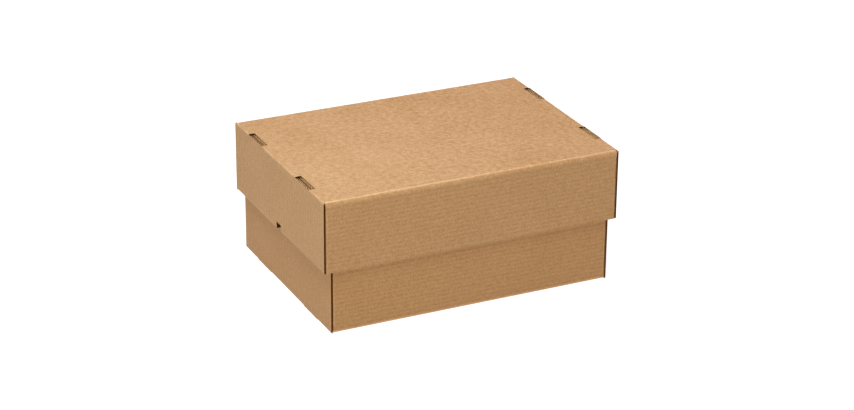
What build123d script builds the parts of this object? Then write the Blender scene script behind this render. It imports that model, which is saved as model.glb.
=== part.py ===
"""Corrugated-card box in two pieces: a base tray, and a deep lid that drops over it and lifts off.

Each piece is one die-cut sheet, folded with no glue. Its side walls are one board thick. At each end a
corner flap from either side wall lies behind the end wall, which then folds over them at the rim and comes
back down inside, where two tabs on its edge lock into slots at the foot of the end wall.

Millimetres, +Z up, origin on the ground in the middle of the footprint. X runs along the box, and the
flutes of the board run along X in the floor, the top and the side walls.
"""
import math
import os

from build123d import *

# Sizes that can be set by themselves
inside_length = 420.4  # room in the base, along X
inside_width = 315.0  # room in the base, along Y
inside_height = 196.2  # room from the base's floor to the underside of the lid
lid_depth = 106.5  # outside of the lid, from its top to its rim
board = 2.8  # thickness of the corrugated board
lap_gap = 0.1  # air between two layers of board that lie together
end_play = 2.8  # air between the base and the lid at each end
side_play = 1.0  # air between the base and the lid at each long side
fold_radius = 2.0  # outside radius of a creased fold, which is tight because the crease crushes the board
bow_radius = 20.0  # outside radius of the bow in which a side wall comes upright above its fold
bow_angle = 25.0  # a side wall leaves its fold this many degrees from upright
rim_drop = 2.8  # the base's side walls stop this far below its ridges, clear of the lid's bows
flap_length = 95.0  # corner flap, from the outside of the side wall to its free edge
flap_relief = 1.5  # the corner flap's edges stand this far clear of the floor and the ridge
inner_wall_play = 0.3  # air between the inner end wall and the fold of the side wall beside it
tab_width = 44.0  # locking tab, along Y
tab_play = 3.0  # air in the slot at each side of a tab that stands in its middle
tab_sidestep = 1.7  # the tabs lie this far off the middle of their slots, towards -Y
tab_spacing = 174.0  # from the middle of one slot to the middle of the other
slot_margin = 1.2  # the slot reaches this far past the inner end wall
slot_lip = 0.2  # the end wall's cut edge in a slot lies this far in from the outside of the floor
notch_width = 16.0  # notch in the middle of each end's rim, along Y
notch_height = 10.0  # notch, from the rim into both end walls

# Sizes that follow from them
fold_turn = 90 - bow_angle
bow_run = bow_radius * (1 - math.sin(math.radians(fold_turn)))
bow_rise = bow_radius * math.cos(math.radians(fold_turn))
side_fold_run = fold_radius * math.sin(math.radians(fold_turn)) + bow_run
bow_top = fold_radius * (1 - math.cos(math.radians(fold_turn))) + bow_rise
bow_inside = bow_radius - board
bow_inside_start = math.degrees(math.asin((bow_top - board) / bow_inside))
side_fold_inside = bow_radius - bow_inside * math.cos(math.radians(bow_inside_start))
end_wall = 3 * board + 2 * lap_gap  # outer wall, corner flap and inner wall
slot_width = tab_width + 2 * tab_play
base_length = inside_length + 2 * end_wall
base_width = inside_width + 2 * board
base_height = inside_height + board
lid_length = base_length + 2 * (end_play + end_wall)
lid_width = base_width + 2 * (side_play + board)
closed_height = base_height + board


def block(low, high, mode=Mode.ADD):
    """Add or cut the box between two opposite corners, given as (x, y, z)."""
    size = Vector(*high) - Vector(*low)
    with Locations((Vector(*low) + Vector(*high)) * 0.5):
        Box(*size, mode=mode)


def floor_and_side_section(width, side_top):
    """Return the section across a tray: floor, a tight fold at each side, a bow, and an upright side wall.

    A fold turns from the floor through fold_turn. The bow turns the rest, about a centre level with its top.
    """
    half = width / 2
    with BuildSketch(Plane.YZ) as section:
        with BuildLine():
            for side in (1, -1):
                centre = (side * (half - bow_radius), bow_top)
                first = 0 if side == 1 else 180
                fold = CenterArc((side * (half - side_fold_run), fold_radius), fold_radius, -90, side * fold_turn)
                CenterArc(centre, bow_radius, first - side * bow_angle, side * bow_angle)
                inside = CenterArc(centre, bow_inside, first - side * bow_inside_start, side * bow_inside_start)
                Line((0, 0), fold @ 0)
                Line((0, board), inside @ 0)
                Polyline(
                    (side * half, bow_top),
                    (side * half, side_top),
                    (side * (half - board), side_top),
                    (side * (half - board), bow_top),
                )
        make_face()
    return section.sketch


def corner_flap(length, width, height, side_top, side):
    """Turn the end of one side wall (side is 1 or -1) inwards as a flap behind the end wall."""
    face = length / 2 - board - lap_gap
    back = face - board
    outside, inside = side * width / 2, side * (width / 2 - board)
    clear_of_fold = side * (width / 2 - side_fold_inside - inner_wall_play)
    free_edge = side * (width / 2 - flap_length)
    block((back, min(outside, inside), bow_top), (face, max(outside, inside), side_top), mode=Mode.SUBTRACT)
    with BuildSketch(Plane.XY.offset(bow_top)) as fold:
        with BuildLine():
            outer = CenterArc((face - fold_radius, side * (width / 2 - fold_radius)), fold_radius, 0, 90 * side)
            Polyline(outer @ 0, (face, inside), (back, inside), (back, outside), outer @ 1)
        make_face()
    extrude(fold.sketch, amount=side_top - bow_top)
    flap_top = height - board - flap_relief
    block((back, min(inside, clear_of_fold), bow_top), (face, max(inside, clear_of_fold), flap_top))
    block(
        (back, min(clear_of_fold, free_edge), board + flap_relief),
        (face, max(clear_of_fold, free_edge), flap_top),
    )


def end_wall_and_lock(length, width, height, side_top):
    """Add the end wall at x > 0, its slots, the ridge at the rim, the inner wall, its tabs and the notch."""
    face = length / 2
    back = face - board
    inner_face = face - end_wall
    ridge_half = width / 2 - side_fold_inside - inner_wall_play
    floor_half = width / 2 - side_fold_run
    inner_edge = board + lap_gap

    # The outer wall, as wide as the tray, with its fold to the floor
    with BuildSketch(Plane.XZ) as wall:
        with BuildLine():
            foot = CenterArc((face - fold_radius, fold_radius), fold_radius, -90, 90)
            Polyline(foot @ 1, (face, side_top), (back, side_top), (back, 0), foot @ 0)
        make_face()
    extrude(wall.sketch, amount=width / 2, both=True)
    block((back - lap_gap, -floor_half, 0), (back, floor_half, board))
    block((back, -ridge_half, height - board), (face, ridge_half, height), mode=Mode.SUBTRACT)

    # Each slot leaves the outer wall straight and square, with its cut edge almost level with the floor
    for middle in (-tab_spacing / 2, tab_spacing / 2):
        low, high = middle - slot_width / 2, middle + slot_width / 2
        block((back, low, slot_lip), (face, high, board))
        block((back, low, 0), (face, high, slot_lip), mode=Mode.SUBTRACT)
        block((inner_face - slot_margin, low, 0), (back, high, board), mode=Mode.SUBTRACT)

    # The ridge over the flaps, and the inner wall down to the floor
    with BuildSketch(Plane.XZ) as ridge:
        with BuildLine():
            outer = FilletPolyline(
                (face, height / 2), (face, height), (inner_face, height), (inner_face, inner_edge),
                radius=fold_radius,
            )
            Polyline(
                outer @ 1,
                (inner_face + board, inner_edge),
                (inner_face + board, height - board),
                (back, height - board),
                (back, height / 2),
                outer @ 0,
            )
        make_face()
    extrude(ridge.sketch, amount=ridge_half, both=True)

    # The locking tabs end flush with the outside of the floor
    for slot_middle in (-tab_spacing / 2, tab_spacing / 2):
        middle = slot_middle - tab_sidestep
        block(
            (inner_face, middle - tab_width / 2, 0),
            (inner_face + board, middle + tab_width / 2, inner_edge),
        )

    # The notch goes through the ridge and both walls, between the two corner flaps
    block(
        (inner_face, -notch_width / 2, height - notch_height),
        (face, notch_width / 2, height),
        mode=Mode.SUBTRACT,
    )


def folded_tray(length, width, height, side_top):
    """Fold one sheet into a tray of these outside sizes, its floor at z = 0, open at the top.

    The ridges at the ends reach the full height. The side walls and the end walls' corners reach side_top.
    """
    extrude(floor_and_side_section(width, side_top), amount=length / 2 - board - lap_gap)
    for side in (-1, 1):
        corner_flap(length, width, height, side_top, side)
    end_wall_and_lock(length, width, height, side_top)
    mirror(about=Plane.YZ)


# The lid rests on the base's ridges, and the base's side walls stop where the lid's bows begin
with BuildPart() as base_tray:
    folded_tray(base_length, base_width, base_height, base_height - rim_drop)

# The lid is the same kind of tray, turned over so that its floor is the top of the box
with BuildPart() as upturned_lid:
    folded_tray(lid_length, lid_width, lid_depth, lid_depth)

with BuildPart() as lid:
    mirror(upturned_lid.part, about=Plane.XY.offset(closed_height / 2))

base_tray.part.label = "base_tray"
lid.part.label = "lid"

os.makedirs("parts", exist_ok=True)
export_step(base_tray.part, "parts/base_tray.step")
export_step(lid.part, "parts/lid.step")

print(f"base tray {base_length:.1f} x {base_width:.1f} x {base_height:.1f}")
print(f"lid {lid_length:.1f} x {lid_width:.1f} x {lid_depth:.1f}")
print(f"closed height {closed_height:.1f}")
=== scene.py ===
"""The looks of a two-piece corrugated kraft box: its liners, its fluting, its folds and the studio round it.

Each sheet is first laid out as its flat blank, in metres: u runs along the flutes and v across them, and
the middle of the floor panel is u = 0, v = 0. The board has an outside face, and a depth that goes from 0
there to the board's thickness at its inside face. A fold is a path of the outside face, carried sideways.
"""

import math
from types import SimpleNamespace

import bpy
import numpy as np
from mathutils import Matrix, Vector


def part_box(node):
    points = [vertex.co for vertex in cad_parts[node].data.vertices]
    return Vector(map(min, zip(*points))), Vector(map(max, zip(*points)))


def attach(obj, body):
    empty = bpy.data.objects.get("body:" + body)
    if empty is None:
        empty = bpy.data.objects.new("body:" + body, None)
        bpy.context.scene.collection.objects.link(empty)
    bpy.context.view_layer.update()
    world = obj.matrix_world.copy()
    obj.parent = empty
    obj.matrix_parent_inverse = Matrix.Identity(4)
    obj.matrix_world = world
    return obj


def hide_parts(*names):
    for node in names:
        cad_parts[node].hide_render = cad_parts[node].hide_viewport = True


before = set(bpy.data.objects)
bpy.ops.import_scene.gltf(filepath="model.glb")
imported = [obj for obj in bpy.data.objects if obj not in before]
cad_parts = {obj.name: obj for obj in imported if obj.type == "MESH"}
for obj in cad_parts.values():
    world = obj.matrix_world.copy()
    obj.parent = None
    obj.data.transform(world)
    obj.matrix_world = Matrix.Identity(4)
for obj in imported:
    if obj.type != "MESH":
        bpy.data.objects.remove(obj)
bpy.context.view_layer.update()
base_low, base_high = (np.array(corner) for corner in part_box("base_tray"))
lid_low, lid_high = (np.array(corner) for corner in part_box("lid"))

# The board and its folds, in metres
BOARD = lid_high[2] - base_high[2]
LAP_GAP = 0.0001
LINER = 0.0004
MEDIUM = 0.00035
FLUTE_PITCH = 0.00635
FOLD = 0.002  # outside radius of a creased fold
CRUSHED = 0.58  # share of the board's thickness that is left in a crease
CREASE_EASE = 0.0025  # the thickness comes back over this far on each side of a fold
BOW = 0.020  # outside radius of the bow in which a side wall comes upright
BOW_ANGLE = 25
END_WALL = 3 * BOARD + 2 * LAP_GAP
FLAP_LENGTH = 0.095
FLAP_RELIEF = 0.0015
WALL_PLAY = 0.0003
TAB_WIDTH = 0.044
SLOT_WIDTH = 0.050
SLOT_LIP = 0.0002
SLOT_REACH = END_WALL + 0.0012
SLOT_SHADE = 0.005  # no light reaches this much of a slot's end, beside its tab
TAB_SIDESTEP = 0.0017
TAB_SPACING = 0.174
NOTCH_WIDTH = 0.016
NOTCH_HEIGHT = 0.010
INNER_EDGE = BOARD + LAP_GAP
SAG = 0.0006  # a large panel's middle lies this far in from flat
TOUCH = 1e-6  # points closer than this are the same point

TAB_MIDDLES = (-TAB_SPACING / 2, TAB_SPACING / 2)
FOLD_TURN = math.radians(90 - BOW_ANGLE)
BOW_TOP = FOLD * (1 - math.cos(FOLD_TURN)) + BOW * math.cos(FOLD_TURN)
SIDE_FOLD_RUN = FOLD * math.sin(FOLD_TURN) + BOW * (1 - math.sin(FOLD_TURN))
SIDE_FOLD_INSIDE = BOW - math.sqrt((BOW - BOARD) ** 2 - (BOW_TOP - BOARD) ** 2)
CREASE_CORE = FOLD - CRUSHED * BOARD / 2  # radius of the middle of the board in a fold
LONG_FOLD = FOLD_TURN * CREASE_CORE  # length of a fold beside a bow, along the middle of the board
HALF_FOLD = math.pi / 4 * CREASE_CORE  # half the length of a right-angled fold
SHARP_ANGLE = math.radians(40)  # faces that meet at more than this show a hard edge
FINE = (0.0007, 0.0015, CREASE_EASE)  # stations beside a fold, for a liner
COARSE = (CREASE_EASE,)  # stations beside a fold, for the fluting

trays = {
    "base": {
        "length": base_high[0] - base_low[0],
        "width": base_high[1] - base_low[1],
        "height": base_high[2] - base_low[2],
        "side_top": base_high[2] - base_low[2] - BOARD,
        "turned_over": False,
    },
    "lid": {
        "length": lid_high[0] - lid_low[0],
        "width": lid_high[1] - lid_low[1],
        "height": lid_high[2] - lid_low[2],
        "side_top": lid_high[2] - lid_low[2],
        "turned_over": True,
    },
}


# ---- Paths: rows of (a, b, inward a, inward b, length) along the board's outside face ----


def fill_in(marks, step):
    """Go through every mark in order, and cut each span between two into equal parts of step or less."""
    marks = np.unique(np.round(marks, 7))
    parts = [np.linspace(a, b, math.ceil((b - a) / step) + 1)[:-1] for a, b in zip(marks, marks[1:])]
    return np.concatenate([*parts, marks[-1:]])


def straight(start, end, inward, step, marks=(), near_start=(), near_end=()):
    """Straight run: start plus t times the way to end, with one inward normal. Marks are measured from start.

    near_start and near_end are more stations, as distances from a fold there, where the run is long enough.
    """
    start, end = np.array(start), np.array(end)
    length = np.linalg.norm(end - start)
    after = [distance for distance in near_start if distance < length / 2]
    before = [length - distance for distance in near_end if distance < length / 2]
    distance = fill_in([0, length, *marks, *after, *before], step)
    point = start + (distance / length)[:, None] * (end - start)
    return np.column_stack([point, np.broadcast_to(inward, point.shape), distance])


def bend(centre, radius, start, turn, pieces, core):
    """Fold: centre plus radius times (cos w, sin w), where w goes from start through turn, in degrees.

    The inward normal is minus (cos w, sin w), and the length is that of the arc at the core radius.
    """
    share = np.linspace(0, 1, pieces + 1)
    w = np.radians(start + turn * share)
    ray = np.column_stack([np.cos(w), np.sin(w)])
    return np.column_stack([np.array(centre) + radius * ray, -ray, abs(math.radians(turn)) * core * share])


def joined(*runs, start=0.0):
    """Join runs end to end, with each length counted on from the run before, starting from start."""
    rows = []
    for run in runs:
        run = run.copy()
        run[:, 4] += start
        start = run[-1, 4]
        rows.append(run if not rows else run[1:])
    return np.concatenate(rows)


# ---- Patches: grids of board, in the tray's own frame with its floor at z = 0 ----


def patch(path, stations, axes, keep, flutes_across_path, sign=1, blank_start=0.0, blank_v=None):
    """Carry a path sideways through its stations and keep the cells whose middles pass the test.

    axes says which of x, y and z the path's a, its b and the station are. Where the flutes cross the path,
    v is the path's length and u the station. Otherwise u is the path's length, and v the station or blank_v.
    """
    size = (len(path), len(stations))
    outside, inward = np.empty((*size, 3)), np.zeros((*size, 3))
    for axis, column in zip(axes[:2], (0, 1)):
        outside[..., axis] = path[:, None, column]
        inward[..., axis] = path[:, None, column + 2]
    outside[..., axes[2]] = stations
    length = np.broadcast_to(sign * (blank_start + path[:, 4:5]), size)
    station = np.broadcast_to(stations if blank_v is None else blank_v, size)
    u, v = (station, length) if flutes_across_path else (length, station)
    middles = (outside[:-1, :-1] + outside[1:, :-1] + outside[:-1, 1:] + outside[1:, 1:]) / 4
    kept = keep(*np.moveaxis(middles, -1, 0)) & np.ones(middles.shape[:2], bool)
    return {"outside": outside, "inward": inward, "blank": np.stack([u, v], -1), "kept": kept}


def mirrored(part):
    """The same patch at the other end of the tray: x and u change sign."""
    turned = dict(part)
    turned["outside"] = part["outside"] * (-1, 1, 1)
    turned["inward"] = part["inward"] * (-1, 1, 1)
    turned["blank"] = part["blank"] * (-1, 1)
    return turned


def in_slot(y):
    return sum(np.abs(y - middle) < SLOT_WIDTH / 2 for middle in TAB_MIDDLES) > 0


def in_tab(y):
    return sum(np.abs(y - middle + TAB_SIDESTEP) < TAB_WIDTH / 2 for middle in TAB_MIDDLES) > 0


def sheet_plan(tray, across_step, along_step, fold_pieces, beside):
    """Where one sheet's walls, cuts and folds lie, as distances from its middle, and how finely it is cut."""
    face, half_width, height = tray["length"] / 2, tray["width"] / 2, tray["height"]
    flap_face = face - BOARD - LAP_GAP
    return SimpleNamespace(
        face=face,
        inner_face=face - END_WALL,
        slot_start=face - SLOT_REACH,
        flap_face=flap_face,
        crease=flap_face - FOLD,
        half_width=half_width,
        floor_half=half_width - SIDE_FOLD_RUN,
        ridge_half=half_width - SIDE_FOLD_INSIDE - WALL_PLAY,
        height=height,
        side_top=tray["side_top"],
        flap_top=height - BOARD - FLAP_RELIEF,
        across_step=across_step,
        along_step=along_step,
        fold_pieces=fold_pieces,
        beside=beside,
    )


def cross_marks(plan):
    """Marks across the tray: wherever a cut begins or ends, and beside the long folds."""
    marks = [-plan.floor_half, plan.floor_half, -NOTCH_WIDTH / 2, NOTCH_WIDTH / 2]
    for middle in TAB_MIDDLES:
        marks += [middle - SLOT_WIDTH / 2, middle + SLOT_WIDTH / 2, middle + SLOT_WIDTH / 2 - SLOT_SHADE]
        marks += [middle - TAB_SIDESTEP - TAB_WIDTH / 2, middle - TAB_SIDESTEP + TAB_WIDTH / 2]
    return marks + [sign * (plan.floor_half - distance) for sign in (-1, 1) for distance in plan.beside]


def side_path(plan):
    """One side, from the floor outwards: the long fold, the bow, and the upright wall to its rim."""
    half_width = plan.half_width
    return joined(
        bend((plan.floor_half, FOLD), FOLD, -90, 90 - BOW_ANGLE, plan.fold_pieces, CREASE_CORE),
        bend((half_width - BOW, BOW_TOP), BOW, -BOW_ANGLE, BOW_ANGLE, plan.fold_pieces, BOW - BOARD / 2),
        straight(
            (half_width, BOW_TOP), (half_width, plan.side_top), (-1, 0), plan.across_step,
            [plan.flap_top - BOW_TOP], near_start=plan.beside,
        ),
        start=plan.floor_half,
    )


def floor_and_sides(plan, side):
    """The floor with a side at each edge: a path across the tray, carried along x, less the slots."""
    floor_y = fill_in(cross_marks(plan), plan.across_step)
    zero = np.zeros_like(floor_y)
    floor_panel = np.column_stack([floor_y, zero, zero, zero + 1, floor_y])
    other_side = side[::-1] * (-1, 1, -1, 1, -1)
    path = np.concatenate([other_side, floor_panel[1:-1], side])
    about_crease = [plan.crease + step for step in (*(-step for step in plan.beside), 0, *plan.beside)]
    fine_x = [sign * x for sign in (-1, 1) for x in about_crease if x < plan.flap_face]
    cuts_x = [-plan.flap_face, -plan.slot_start, plan.slot_start, plan.flap_face]

    def in_sheet(x, y, z):
        slot = (np.abs(x) > plan.slot_start) & (np.abs(y) < plan.floor_half) & in_slot(y)
        return ((np.abs(x) < plan.crease) | (z < BOW_TOP)) & ~slot

    stations = fill_in([*cuts_x, *fine_x], plan.along_step)
    return patch(path, stations, (1, 2, 0), in_sheet, flutes_across_path=True)


def end_path(plan):
    """One end, from the floor: up the end wall, over the ridge, down inside and out through a slot."""
    face, inner_face, step, beside = plan.face, plan.inner_face, plan.along_step, plan.beside
    top = plan.height - FOLD
    quarter = dict(radius=FOLD, turn=90, pieces=plan.fold_pieces, core=CREASE_CORE)
    wall_marks = [plan.height - NOTCH_HEIGHT - FOLD, *([plan.side_top - FOLD] if plan.side_top < top else [])]
    inner_marks = [NOTCH_HEIGHT - FOLD, top - INNER_EDGE]
    return joined(
        straight((plan.flap_face, 0), (face - FOLD, 0), (0, 1), step),
        bend((face - FOLD, FOLD), start=-90, **quarter),
        straight((face, FOLD), (face, top), (-1, 0), step, wall_marks, beside, beside),
        bend((face - FOLD, top), start=0, **quarter),
        straight((face - FOLD, plan.height), (inner_face + FOLD, plan.height), (0, -1), step),
        bend((inner_face + FOLD, top), start=90, **quarter),
        straight((inner_face, top), (inner_face, 0), (1, 0), step, inner_marks, near_start=beside),
    )


def blank_at(plan, path, z):
    """The blank's u where the end wall's outer face, on the end's path, reaches a height."""
    reached = (path[:, 0] > plan.face - TOUCH) & (path[:, 1] > z - TOUCH)
    return plan.flap_face + path[np.argmax(reached), 4]


def end_wall(plan, path):
    """The end wall, its ridge, the inner wall with its tabs, and the notch through them.

    In the slots the end wall stays straight, and so it does at the lid's rim corners beside the ridge.
    """
    face, ridge_half, top = plan.face, plan.ridge_half, plan.height - FOLD
    wall_marks = [*cross_marks(plan), -ridge_half, ridge_half, -plan.half_width, plan.half_width]
    wall_y = fill_in(wall_marks, plan.across_step)

    def in_end_wall(x, y, z):
        outer = x > face - END_WALL / 2
        over = ~outer & (z < INNER_EDGE)
        foot = outer & (z < FOLD)
        wall = outer & ~foot & (z < top)
        ridge = ~foot & ~wall & ~over & (np.abs(y) < ridge_half)
        notch = (np.abs(y) < NOTCH_WIDTH / 2) & (z > plan.height - NOTCH_HEIGHT)
        foot_width = np.where(x < face - FOLD, plan.floor_half, plan.half_width)
        in_wall = wall & ((np.abs(y) < ridge_half) | (z < plan.side_top))
        in_foot = foot & (np.abs(y) < foot_width) & ~in_slot(y)
        return (in_wall | in_foot | ridge | (over & in_tab(y))) & ~notch

    def upright(low, high, keep, blank_start):
        run = straight((face, low), (face, high), (-1, 0), plan.along_step)
        return patch(run, wall_y, (0, 2, 1), keep, flutes_across_path=False, blank_start=blank_start)

    lip_start = blank_at(plan, path, FOLD) - (FOLD - SLOT_LIP)
    walls = [
        patch(path, wall_y, (0, 2, 1), in_end_wall, flutes_across_path=False, blank_start=plan.flap_face),
        upright(SLOT_LIP, FOLD, lambda x, y, z: in_slot(y), lip_start),
    ]
    if plan.side_top > top:
        corner_start = blank_at(plan, path, top)
        walls.append(upright(top, plan.side_top, lambda x, y, z: np.abs(y) > ridge_half, corner_start))
    return walls


def corner_flaps(plan, side):
    """The side walls' ends, turned in behind the end wall and carried along z.

    A flap's foot, below the bow, starts as far in as the ridge and the inner wall do.
    """
    crease, flap_face, fold_start = plan.crease, plan.flap_face, plan.half_width - FOLD
    upright = side[:, 1] > BOW_TOP - TOUCH
    side_z, side_v = side[upright, 1], side[upright, 4]
    foot_z = fill_in([BOARD + FLAP_RELIEF, BOW_TOP], plan.across_step)
    foot_v = side_v[0] - BOW_TOP + foot_z
    flaps = []
    for sign in (-1, 1):
        free_edge = sign * (plan.half_width - FLAP_LENGTH)
        path = joined(
            bend((crease, sign * fold_start), FOLD, 90 * sign, -90 * sign, plan.fold_pieces, CREASE_CORE),
            straight(
                (flap_face, sign * fold_start), (flap_face, free_edge), (-1, 0), plan.along_step,
                [fold_start - plan.ridge_half], near_start=plan.beside,
            ),
        )
        flap = patch(
            path, side_z, (0, 1, 2), lambda x, y, z: (np.abs(y) > fold_start) | (z < plan.flap_top),
            flutes_across_path=False, blank_start=crease, blank_v=sign * side_v,
        )
        foot = patch(
            path, foot_z, (0, 1, 2), lambda x, y, z: np.abs(y) < plan.ridge_half,
            flutes_across_path=False, blank_start=crease, blank_v=sign * foot_v,
        )
        flaps += [flap, foot]
    return flaps


def crease_places(plan, side, path):
    """Where the middle of each fold lies on the blank, and where a bow ends."""
    ridge = blank_at(plan, path, plan.height - FOLD) + HALF_FOLD
    return {
        "side": plan.floor_half + LONG_FOLD / 2,
        "bow_top": side[np.argmax(side[:, 1] > BOW_TOP - TOUCH), 4],
        "end": plan.face - FOLD + HALF_FOLD,
        "flap": plan.crease + HALF_FOLD,
        "ridge": ridge,
        "inner_ridge": ridge + 2 * HALF_FOLD + END_WALL - 2 * FOLD,
    }


def tray_patches(tray, across_step, along_step, fold_pieces, beside):
    """Every patch of one folded sheet, in steps of across_step across the flutes and along_step along them.

    Each fold is cut into fold_pieces, with more stations at the distances beside it.
    """
    plan = sheet_plan(tray, across_step, along_step, fold_pieces, beside)
    side, end = side_path(plan), end_path(plan)
    patches = [floor_and_sides(plan, side)]
    for part in [*end_wall(plan, end), *corner_flaps(plan, side)]:
        patches += [part, mirrored(part)]
    creases = crease_places(plan, side, end)
    for part in patches:
        creased(part, creases, plan.ridge_half)
        shaded(part, plan.slot_start, creases)
        sagged(part, tray)
        if tray["turned_over"]:
            part["outside"] = part["outside"] * (1, 1, -1) + (0, 0, lid_high[2])
            part["inward"] = part["inward"] * (1, 1, -1)
    return patches


def creased(part, creases, ridge_half):
    """Set how far each point is into a crease: 1 in a fold, easing to 0 beside it, and 0 where a slot cuts.

    creases holds where each fold's middle lies on the blank, and where a bow ends.
    The ease is 3 t squared minus 2 t cubed, where t falls from 1 at the fold's edge to 0 at CREASE_EASE. The
    painted highlight, which lightens the paper where a long fold and its bow face the light, rises over the
    first half of a long fold, and falls again over the first half of its bow.
    """
    u, v = np.abs(np.moveaxis(part["blank"], -1, 0))

    def near(distance, half_fold):
        t = np.clip(1 - (np.abs(distance) - half_fold) / CREASE_EASE, 0, 1)
        return t * t * (3 - 2 * t)

    up_side = np.clip((v - creases["bow_top"]) / CREASE_EASE + 0.5, 0, 1)
    whole = ~in_slot(part["blank"][..., 1])
    depth = near(v - creases["side"], LONG_FOLD / 2) * (u < creases["end"])
    depth = np.maximum(depth, near(u - creases["end"], HALF_FOLD) * (1 - up_side) * whole)
    depth = np.maximum(depth, near(u - creases["flap"], HALF_FOLD) * up_side)
    for name in ("ridge", "inner_ridge"):
        depth = np.maximum(depth, near(u - creases[name], HALF_FOLD) * (v < ridge_half + TOUCH))
    part["crease"] = depth
    half_bow = (creases["bow_top"] - creases["side"] - LONG_FOLD / 2) / 2
    past = v - creases["side"] + LONG_FOLD / 2
    falling = 1 - (past - LONG_FOLD) / half_bow
    # painted highlight: the liner is lightened in a long fold and the top of its bow, which turn towards the
    # light
    part["stretch"] = np.clip(np.minimum(2 * past / LONG_FOLD, falling), 0, 1) * (u < creases["flap"])


def shaded(part, slot_start, creases):
    """Mark the cut edges that little light reaches, and the inner wall with its tabs.

    shade is 1 on the floor's edge in a slot, at the slot's +y end and round the notch, and elsewhere 0.
    """
    u, v = np.abs(part["blank"][..., 0]), part["blank"][..., 1]
    shade = np.zeros(u.shape)
    at_slot_start = np.abs(u - slot_start) < TOUCH
    for middle in TAB_MIDDLES:
        slot_low, slot_high = middle - SLOT_WIDTH / 2, middle + SLOT_WIDTH / 2
        in_this_slot = (v > slot_low - TOUCH) & (v < slot_high + TOUCH)
        far_end = (u > slot_start) & (v > slot_high - SLOT_SHADE - TOUCH)
        shade[in_this_slot & (at_slot_start | far_end)] = 1
    shade[(np.abs(v) < NOTCH_WIDTH / 2 + TOUCH) & (u > creases["end"] + NOTCH_HEIGHT)] = 1
    part["shade"] = shade
    part["inner_wall"] = (u > creases["inner_ridge"]).astype(float)


def sagged(part, tray):
    """Let the large panels sag inwards: by a parabola each way on the floor, and most at a side's rim."""
    u, v = np.moveaxis(part["blank"], -1, 0)
    floor_half = tray["width"] / 2 - SIDE_FOLD_RUN
    side_start = floor_half + LONG_FOLD + math.radians(BOW_ANGLE) * (BOW - BOARD / 2)
    lengthwise = np.clip(1 - (2 * u / (tray["length"] - 2 * END_WALL)) ** 2, 0, None)
    crosswise = np.clip(1 - (v / floor_half) ** 2, 0, None)
    up_side = np.clip((np.abs(v) - side_start) / (tray["side_top"] - BOW_TOP), 0, 1) ** 2
    depth = SAG * lengthwise * (crosswise + up_side)
    part["outside"] = part["outside"] + part["inward"] * depth[..., None]


# ---- Meshes ----

ATTRIBUTES = ("crease", "stretch", "shade", "inner_wall")  # what every point keeps for the finishes


def gathered(patches, near_depth, far_depth):
    """Every patch's points at the near depth and at the far depth, with their marks, and the kept cells."""
    near, far, blank, marks, cells = [], [], [], [], []
    count = 0
    for part in patches:
        outside, inward, v = part["outside"], part["inward"], part["blank"][..., 1]
        thickness = BOARD * (1 - (1 - CRUSHED) * part["crease"])
        near.append((outside + inward * near_depth(v, thickness)[..., None]).reshape(-1, 3))
        far.append((outside + inward * far_depth(v, thickness)[..., None]).reshape(-1, 3))
        blank.append(part["blank"].reshape(-1, 2))
        marks.append(np.stack([part[attribute] for attribute in ATTRIBUTES], -1).reshape(-1, len(ATTRIBUTES)))
        index = count + np.arange(v.size).reshape(v.shape)
        count += v.size
        quads = np.stack([index[:-1, :-1], index[1:, :-1], index[1:, 1:], index[:-1, 1:]], -1)
        down, right = np.diff(outside, axis=0)[:, :-1], np.diff(outside, axis=1)[:-1]
        facing_in = (np.cross(down, right) * inward[:-1, :-1]).sum(-1) > 0
        quads[facing_in] = quads[facing_in][:, ::-1]
        cells.append(quads[part["kept"]])
    return [np.concatenate(rows) for rows in (near, far, blank, marks, cells)]


def welded(near, far, blank, marks, cells):
    """Make one point of those whose near places are the same, and leave out those that no cell uses."""
    used = np.unique(cells)
    places = np.round(near[used] / TOUCH).astype(np.int64)
    first, where = np.unique(places, axis=0, return_index=True, return_inverse=True)[1:]
    lookup = np.zeros(len(near), np.int64)
    lookup[used] = where.reshape(-1)
    return [rows[used][first] for rows in (near, far, blank, marks)] + [lookup[cells]]


def rim_strips(cells, blank):
    """A strip from near to far at each edge that only one cell has: across the flutes, then along them."""
    total = len(blank)
    starts, ends = cells.reshape(-1), np.roll(cells, -1, axis=1).reshape(-1)
    rim = ~np.isin(starts * total + ends, ends * total + starts)
    a, b = starts[rim], ends[rim]
    strips = np.stack([b, a, a + total, b + total], -1)
    run = np.abs(blank[b] - blank[a])
    along = run[:, 0] > run[:, 1]
    return strips[~along], strips[along]


def layer(name, patches, near_depth, far_depth, body, finishes):
    """One layer of the board as a closed mesh: every patch at its near depth and again at its far depth.

    A point is the outside face plus its depth along the inward normal. A depth is a function of v and of the
    board's thickness there. The finishes are for the near side, the far side, the strips on a cut across the
    flutes, and the strips on a cut along them.
    """
    near, far, blank, marks, cells = welded(*gathered(patches, near_depth, far_depth))
    sides = [cells, cells[:, ::-1] + len(near), *rim_strips(cells, blank)]
    faces = np.concatenate(sides)

    mesh = bpy.data.meshes.new(name)
    mesh.from_pydata(np.concatenate([near, far]).tolist(), [], faces.tolist())
    for finish in finishes:
        mesh.materials.append(finish)
    which = np.repeat(np.arange(len(sides)), [len(side) for side in sides])
    mesh.polygons.foreach_set("material_index", which.astype(np.int32))
    laid_flat = np.concatenate([blank, blank])[faces.reshape(-1)]
    mesh.uv_layers.new(name="blank").data.foreach_set("uv", laid_flat.reshape(-1).astype(np.float32))
    for column, attribute in enumerate(ATTRIBUTES):
        values = np.concatenate([marks[:, column], marks[:, column]]).astype(np.float32)
        mesh.attributes.new(attribute, "FLOAT", "POINT").data.foreach_set("value", values)
    mesh.shade_smooth()
    mesh.set_sharp_from_angle(angle=SHARP_ANGLE)
    mesh.validate()

    piece = bpy.data.objects.new(name, mesh)
    bpy.context.scene.collection.objects.link(piece)
    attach(piece, body)
    return piece


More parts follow.
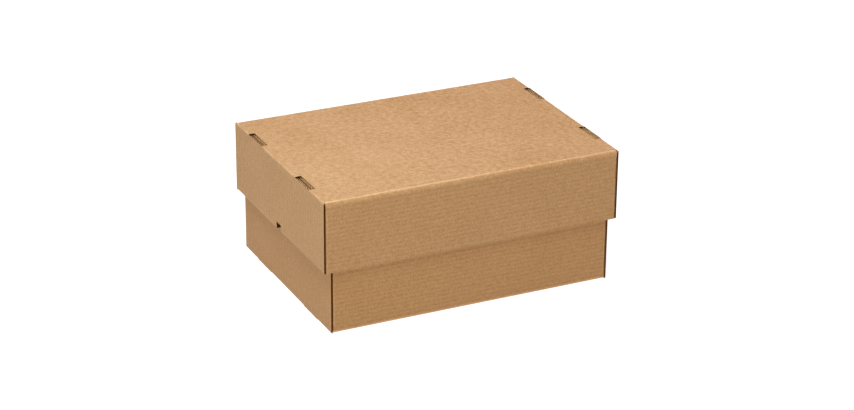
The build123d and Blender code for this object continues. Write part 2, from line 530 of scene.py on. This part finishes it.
def fluting_middle(v, thickness):
    """The middle of the fluting: half the thickness, plus the wave's swing times the sine of its phase."""
    swing = (thickness - 2 * LINER - MEDIUM) / 2
    return thickness / 2 + swing * np.sin(2 * math.pi * v / FLUTE_PITCH)


# ---- Finishes ----


class Value:
    """One output socket of a finish's node. Python's operators on it add Math nodes."""

    def __init__(self, finish, socket):
        self.finish = finish
        self.socket = socket

    def math(self, operation, first, second):
        return self.finish.node("ShaderNodeMath", {"operation": operation}, {0: first, 1: second})

    def __add__(self, other):
        return self.math("ADD", self, other)

    def __radd__(self, other):
        return self.math("ADD", other, self)

    def __sub__(self, other):
        return self.math("SUBTRACT", self, other)

    def __rsub__(self, other):
        return self.math("SUBTRACT", other, self)

    def __mul__(self, other):
        return self.math("MULTIPLY", self, other)

    def __rmul__(self, other):
        return self.math("MULTIPLY", other, self)


class Finish:
    """A material made of nodes. node() adds any node: its kind, its settings, and its sockets' values."""

    def __init__(self, name):
        self.material = bpy.data.materials.new(name)
        self.material.use_nodes = True
        self.tree = self.material.node_tree
        self.tree.nodes.clear()

    def node(self, kind, settings=None, sockets=None, output=0):
        made = self.tree.nodes.new(kind)
        for key, value in (settings or {}).items():
            setattr(made, key, value)
        for key, value in (sockets or {}).items():
            if isinstance(value, Value):
                self.tree.links.new(value.socket, made.inputs[key])
            else:
                made.inputs[key].default_value = value
        return Value(self, made.outputs[output]) if made.outputs else made

    def blank(self, u_scale=1.0, v_scale=1.0, turn=0.0):
        """The flat blank's coordinates, in metres, turned by some degrees and then scaled along u and v."""
        laid = self.node("ShaderNodeUVMap", {"uv_map": "blank"})
        turned = self.node(
            "ShaderNodeMapping", {"vector_type": "POINT"},
            {"Vector": laid, "Rotation": (0, 0, math.radians(turn))},
        )
        return self.node(
            "ShaderNodeVectorMath", {"operation": "MULTIPLY"}, {0: turned, 1: (u_scale, v_scale, 1)}
        )

    def noise(self, vector, scale, detail=2.0, roughness=0.5):
        """Noise from 0 to 1, about 0.5, at this many cells for each unit of the vector."""
        return self.node(
            "ShaderNodeTexNoise", {"noise_dimensions": "2D"},
            {"Vector": vector, "Scale": scale, "Detail": detail, "Roughness": roughness},
        )

    def clamped(self, value, low, high):
        """Map low to high onto 0 to 1, and hold what lies outside."""
        return self.node(
            "ShaderNodeMapRange", {"clamp": True}, {"Value": value, "From Min": low, "From Max": high}
        )

    def mix(self, factor, first, second):
        """From the first colour at 0 to the second at 1."""
        return self.node(
            "ShaderNodeMix", {"data_type": "RGBA"}, {0: factor, 6: first, 7: second}, output=2
        )

    def scaled(self, colour, value):
        """A colour, or a node's colour, times a value."""
        plain = colour if isinstance(colour, Value) else colour[:3]
        return self.node("ShaderNodeVectorMath", {"operation": "SCALE"}, {0: plain, 3: value})

    def finished(self, colour, roughness, height, specular):
        """Close the finish with one Principled shader. height is a bump in metres."""
        bumped = self.node("ShaderNodeBump", {}, {"Strength": 1.0, "Distance": 1.0, "Height": height})
        shader = self.node(
            "ShaderNodeBsdfPrincipled", {},
            {
                "Base Color": colour, "Roughness": roughness, "Normal": bumped,
                "Specular IOR Level": specular,
            },
        )
        self.node("ShaderNodeOutputMaterial", {}, {"Surface": shader})
        return self.material


# Cells of noise to a metre of the blank, along the flutes and across them where they differ
LONG_FIBRES = (3200, 520)
CROSS_FIBRES = (2400, 700)
GRAIN = (1000, 700)
FLOCKS = (410, 320)
CLOUDS = 130
DRIFT = 14
CUT_GRAIN = 1500
CUT_CLOUDS = 160

# Colours of the paper and of the board's cut edges
KRAFT_LID = (0.413, 0.240, 0.108, 1)
# the base's kraft is the lid's made darker: painted shade for the base, which stands inset below the lid
KRAFT_BASE_SHADED = (0.395, 0.219, 0.092, 1)
FIBRE_TINT = (0.73, 1.0, 1.56)  # how strongly the fibres' light and dark shows in red, green and blue
# the crease colour: worn paper, with a painted highlight on the fold
KRAFT_WORN_HIGHLIGHT = (0.60, 0.40, 0.24, 1)
KRAFT_CUT = (0.62, 0.36, 0.165, 1)
# the cut edges along the flutes and the fluting are darker brown than the liner, and darker still as painted
# shade of the flute tunnels; TAB_FLUTING, for the inner wall and its tabs, is lighter, with less painted
# shade
CUT_ALONG_SHADED = (0.145, 0.052, 0.010, 1)
FLUTING_SHADED = (0.110, 0.040, 0.008, 1)
TAB_FLUTING = (0.36, 0.18, 0.06, 1)


def kraft_liner(name, colour):
    """Kraft paper: short fibres mostly across the flutes, soft mottling, and faint ribs over the flutes.

    The colour is the plain one plus the swing times the tone, and the tint makes that swing nearly grey. The
    clouds and the broad drift are strongest where the paper faces up or down. A painted highlight lightens
    the paper in a long fold and the top of its bow, where they turn towards the light. A crease takes a
    lighter colour for its worn paper and as a painted highlight.
    """
    f = Finish(name)
    long_fibres = f.noise(f.blank(*LONG_FIBRES, turn=7), 1.0, detail=3, roughness=0.6)
    cross_fibres = f.noise(f.blank(*CROSS_FIBRES, turn=-38), 1.0, detail=2, roughness=0.6)
    grain = f.noise(f.blank(*GRAIN, turn=20), 1.0, detail=3, roughness=0.65)
    flocks = f.noise(f.blank(*FLOCKS, turn=-15), 1.0, detail=3, roughness=0.7)
    cloud = f.noise(f.blank(), CLOUDS, detail=3, roughness=0.6)
    drift = f.noise(f.blank(1.0, 0.7), DRIFT, detail=2)
    fibres = long_fibres * 0.6 + cross_fibres * 0.4
    dark_fleck = f.clamped(long_fibres, 0.66, 0.80) * f.clamped(cloud, 0.35, 0.65)
    light_fleck = f.clamped(cross_fibres, 0.66, 0.78)
    v = f.node("ShaderNodeSeparateXYZ", {}, {0: f.blank()}, output=1)
    ribs = f.node("ShaderNodeMath", {"operation": "SINE"}, {0: v * (2 * math.pi / FLUTE_PITCH)})
    crease = f.node("ShaderNodeAttribute", {"attribute_name": "crease"}, output=2)
    stretch = f.node("ShaderNodeAttribute", {"attribute_name": "stretch"}, output=2)
    facing = f.node("ShaderNodeNewGeometry", output=1)
    level = f.node("ShaderNodeSeparateXYZ", {}, {0: facing}, output=2)
    level = f.node("ShaderNodeMath", {"operation": "ABSOLUTE"}, {0: level})
    # a crease's lighter colour is partly worn paper and partly a painted highlight along the fold
    wear_and_highlight = f.clamped(crease, 0.6, 1.0) * f.clamped(grain + drift, 0.7, 1.25)
    fine = (fibres - 0.5) * 0.42 + (grain - 0.5) * 0.48 - dark_fleck * 0.16 + light_fleck * 0.12
    mottling = (flocks - 0.5) * (0.76 + level * 0.06) + (cloud - 0.5) * (0.34 + level * 0.42)
    broad = (drift - 0.5) * (0.10 + level * 0.14)
    # the ribs also stripe the tone lighter and darker over the flutes: painted shade of the washboard relief
    tone = (fine * 0.92 + mottling + broad - ribs * 0.045) * (1.08 - level * 0.08)
    swing = [part * share for part, share in zip(colour, FIBRE_TINT)]
    plain = f.node("ShaderNodeVectorMath", {"operation": "ADD"}, {0: colour[:3], 1: f.scaled(swing, tone)})
    # the paper is scaled up by a painted highlight in a long fold and its bow, and mixed towards a lighter
    # crease colour
    paper = f.mix(wear_and_highlight * 0.45, f.scaled(plain, 1 + stretch * 0.3), KRAFT_WORN_HIGHLIGHT)
    height = fibres * 0.00004 + grain * 0.00005 + flocks * 0.00006 - ribs * 0.00008
    return f.finished(paper, 0.72 + (cloud - 0.5) * 0.15, height, 0.32)


def cut_board(name, colour, tab_colour):
    """A cut edge or the inside of the board: rough, with a fine grain and soft clouds.

    The inner wall and its tabs take tab_colour. For the fluting the other colour is darker, as painted shade
    of the flute tunnels, and edges marked shade are darker by painted shade.
    """
    f = Finish(name)
    grain = f.noise(f.blank(), CUT_GRAIN, detail=3, roughness=0.7)
    cloud = f.noise(f.blank(), CUT_CLOUDS, detail=2)
    shade = f.node("ShaderNodeAttribute", {"attribute_name": "shade"}, output=2)
    tone = (1 + (grain - 0.5) * 0.5 + (cloud - 0.5) * 0.25) * (1 - shade * 0.8)
    inner_wall = f.node("ShaderNodeAttribute", {"attribute_name": "inner_wall"}, output=2)
    return f.finished(f.scaled(f.mix(inner_wall, colour, tab_colour), tone), 0.85, grain * 0.00005, 0.0)


cut_across = cut_board("cut_across_flutes", KRAFT_CUT, KRAFT_CUT)
cut_along = cut_board("cut_along_flutes", CUT_ALONG_SHADED, CUT_ALONG_SHADED)
fluting_paper = cut_board("fluting_paper", FLUTING_SHADED, TAB_FLUTING)

for body, node, kraft in (("base", "base_tray", KRAFT_BASE_SHADED), ("lid", "lid", KRAFT_LID)):
    paper = kraft_liner(f"kraft_{body}_liner", kraft)
    sheet = tray_patches(trays[body], across_step=0.012, along_step=0.03, fold_pieces=6, beside=FINE)
    corrugated = tray_patches(
        trays[body], across_step=FLUTE_PITCH / 8, along_step=0.07, fold_pieces=3, beside=COARSE
    )
    outside = layer(
        f"{body}_outer_liner", sheet, lambda v, thickness: 0 * v, lambda v, thickness: LINER + 0 * v,
        body, (paper, fluting_paper, cut_across, cut_along),
    )
    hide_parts(node)
    layer(
        f"{body}_inner_liner", sheet, lambda v, thickness: thickness - LINER, lambda v, thickness: thickness,
        body, (fluting_paper, paper, cut_across, cut_along),
    )
    layer(
        f"{body}_fluting", corrugated,
        lambda v, thickness: fluting_middle(v, thickness) - MEDIUM / 2,
        lambda v, thickness: fluting_middle(v, thickness) + MEDIUM / 2,
        body, (fluting_paper, fluting_paper, cut_across, cut_along),
    )


# ---- Studio ----

FLOOR_REACH = 8.0
FLOOR_GREY = (0.35, 0.35, 0.35, 1)
FLOOR_GLOW = 0.86
SKY_STRENGTH = 0.125
CAMERA_PLACE = (-3.1163, -6.5026, 3.3636)  # in lid lengths
CAMERA_ANGLES = (-25.68, 23.68, 0.48)  # azimuth, elevation and roll, in degrees
CAMERA_LENS = 104.02  # focal length in millimetres, for a sensor 36 mm wide


def floor():
    """A plain pale floor, far wider than the view, that glows so that it stays white beside the box."""
    mesh = bpy.data.meshes.new("studio_floor")
    corners = [(x * FLOOR_REACH, y * FLOOR_REACH, 0) for x, y in ((-1, -1), (1, -1), (1, 1), (-1, 1))]
    mesh.from_pydata(corners, [], [(0, 1, 2, 3)])
    pale = Finish("studio_floor")
    shader = pale.node(
        "ShaderNodeBsdfPrincipled", {},
        {
            "Base Color": FLOOR_GREY, "Roughness": 0.9, "Specular IOR Level": 0.0,
            "Emission Color": (1, 1, 1, 1), "Emission Strength": FLOOR_GLOW,
        },
    )
    pale.node("ShaderNodeOutputMaterial", {}, {"Surface": shader})
    mesh.materials.append(pale.material)
    plane = bpy.data.objects.new("studio_floor", mesh)
    bpy.context.scene.collection.objects.link(plane)


def softbox(name, place, aim, size, power, colour):
    """A square area light at a place, turned to face a point. Its power is in watts."""
    lamp = bpy.data.lights.new(name, "AREA")
    lamp.shape = "SQUARE"
    lamp.size = size
    lamp.energy = power
    lamp.color = colour
    holder = bpy.data.objects.new(name, lamp)
    direction = Vector(aim) - Vector(place)
    holder.location = place
    holder.rotation_euler = direction.to_track_quat("-Z", "Y").to_euler()
    bpy.context.scene.collection.objects.link(holder)


def camera():
    """Look at the box from the front left and above. The roll turns the camera about its line of sight."""
    azimuth, elevation, roll = (math.radians(angle) for angle in CAMERA_ANGLES)
    level = math.cos(elevation)
    back = np.array([math.sin(azimuth) * level, -math.cos(azimuth) * level, math.sin(elevation)])
    right = np.cross((0, 0, 1), back) / level
    up = np.cross(back, right)
    rolled_right = math.cos(roll) * right + math.sin(roll) * up
    rolled_up = math.cos(roll) * up - math.sin(roll) * right
    place = trays["lid"]["length"] * np.array(CAMERA_PLACE)
    lens = bpy.data.cameras.new("camera")
    lens.sensor_width = 36.0
    lens.lens = CAMERA_LENS
    lens.clip_start, lens.clip_end = 0.1, 60.0
    eye = bpy.data.objects.new("camera", lens)
    turned = np.eye(4)
    turned[:3, 0], turned[:3, 1], turned[:3, 2], turned[:3, 3] = rolled_right, rolled_up, back, place
    eye.matrix_world = Matrix(turned.tolist())
    bpy.context.scene.collection.objects.link(eye)
    bpy.context.scene.camera = eye


floor()
softbox("overhead", (-0.15, -0.1, 2.5), (0, 0, 0.1), 2.2, 66.5, (1.0, 0.770, 0.765))
softbox("overhead_left", (-0.45, -0.3, 1.3), (-0.1, -0.15, 0.1), 0.6, 13.0, (0.54, 0.86, 1.0))
softbox("front", (-0.9, -2.45, 0.6), (0, 0, 0.1), 1.0, 11.0, (1.0, 0.625, 0.02))
softbox("left", (-3.0, -0.6, 1.0), (0, 0, 0.1), 1.6, 15.0, (1.0, 0.75, 0.28))

world = bpy.data.worlds.new("studio")
world.use_nodes = True
world.node_tree.nodes["Background"].inputs["Color"].default_value = (1, 1, 1, 1)
world.node_tree.nodes["Background"].inputs["Strength"].default_value = SKY_STRENGTH
bpy.context.scene.world = world
bpy.context.scene.view_settings.view_transform = "Standard"
camera()
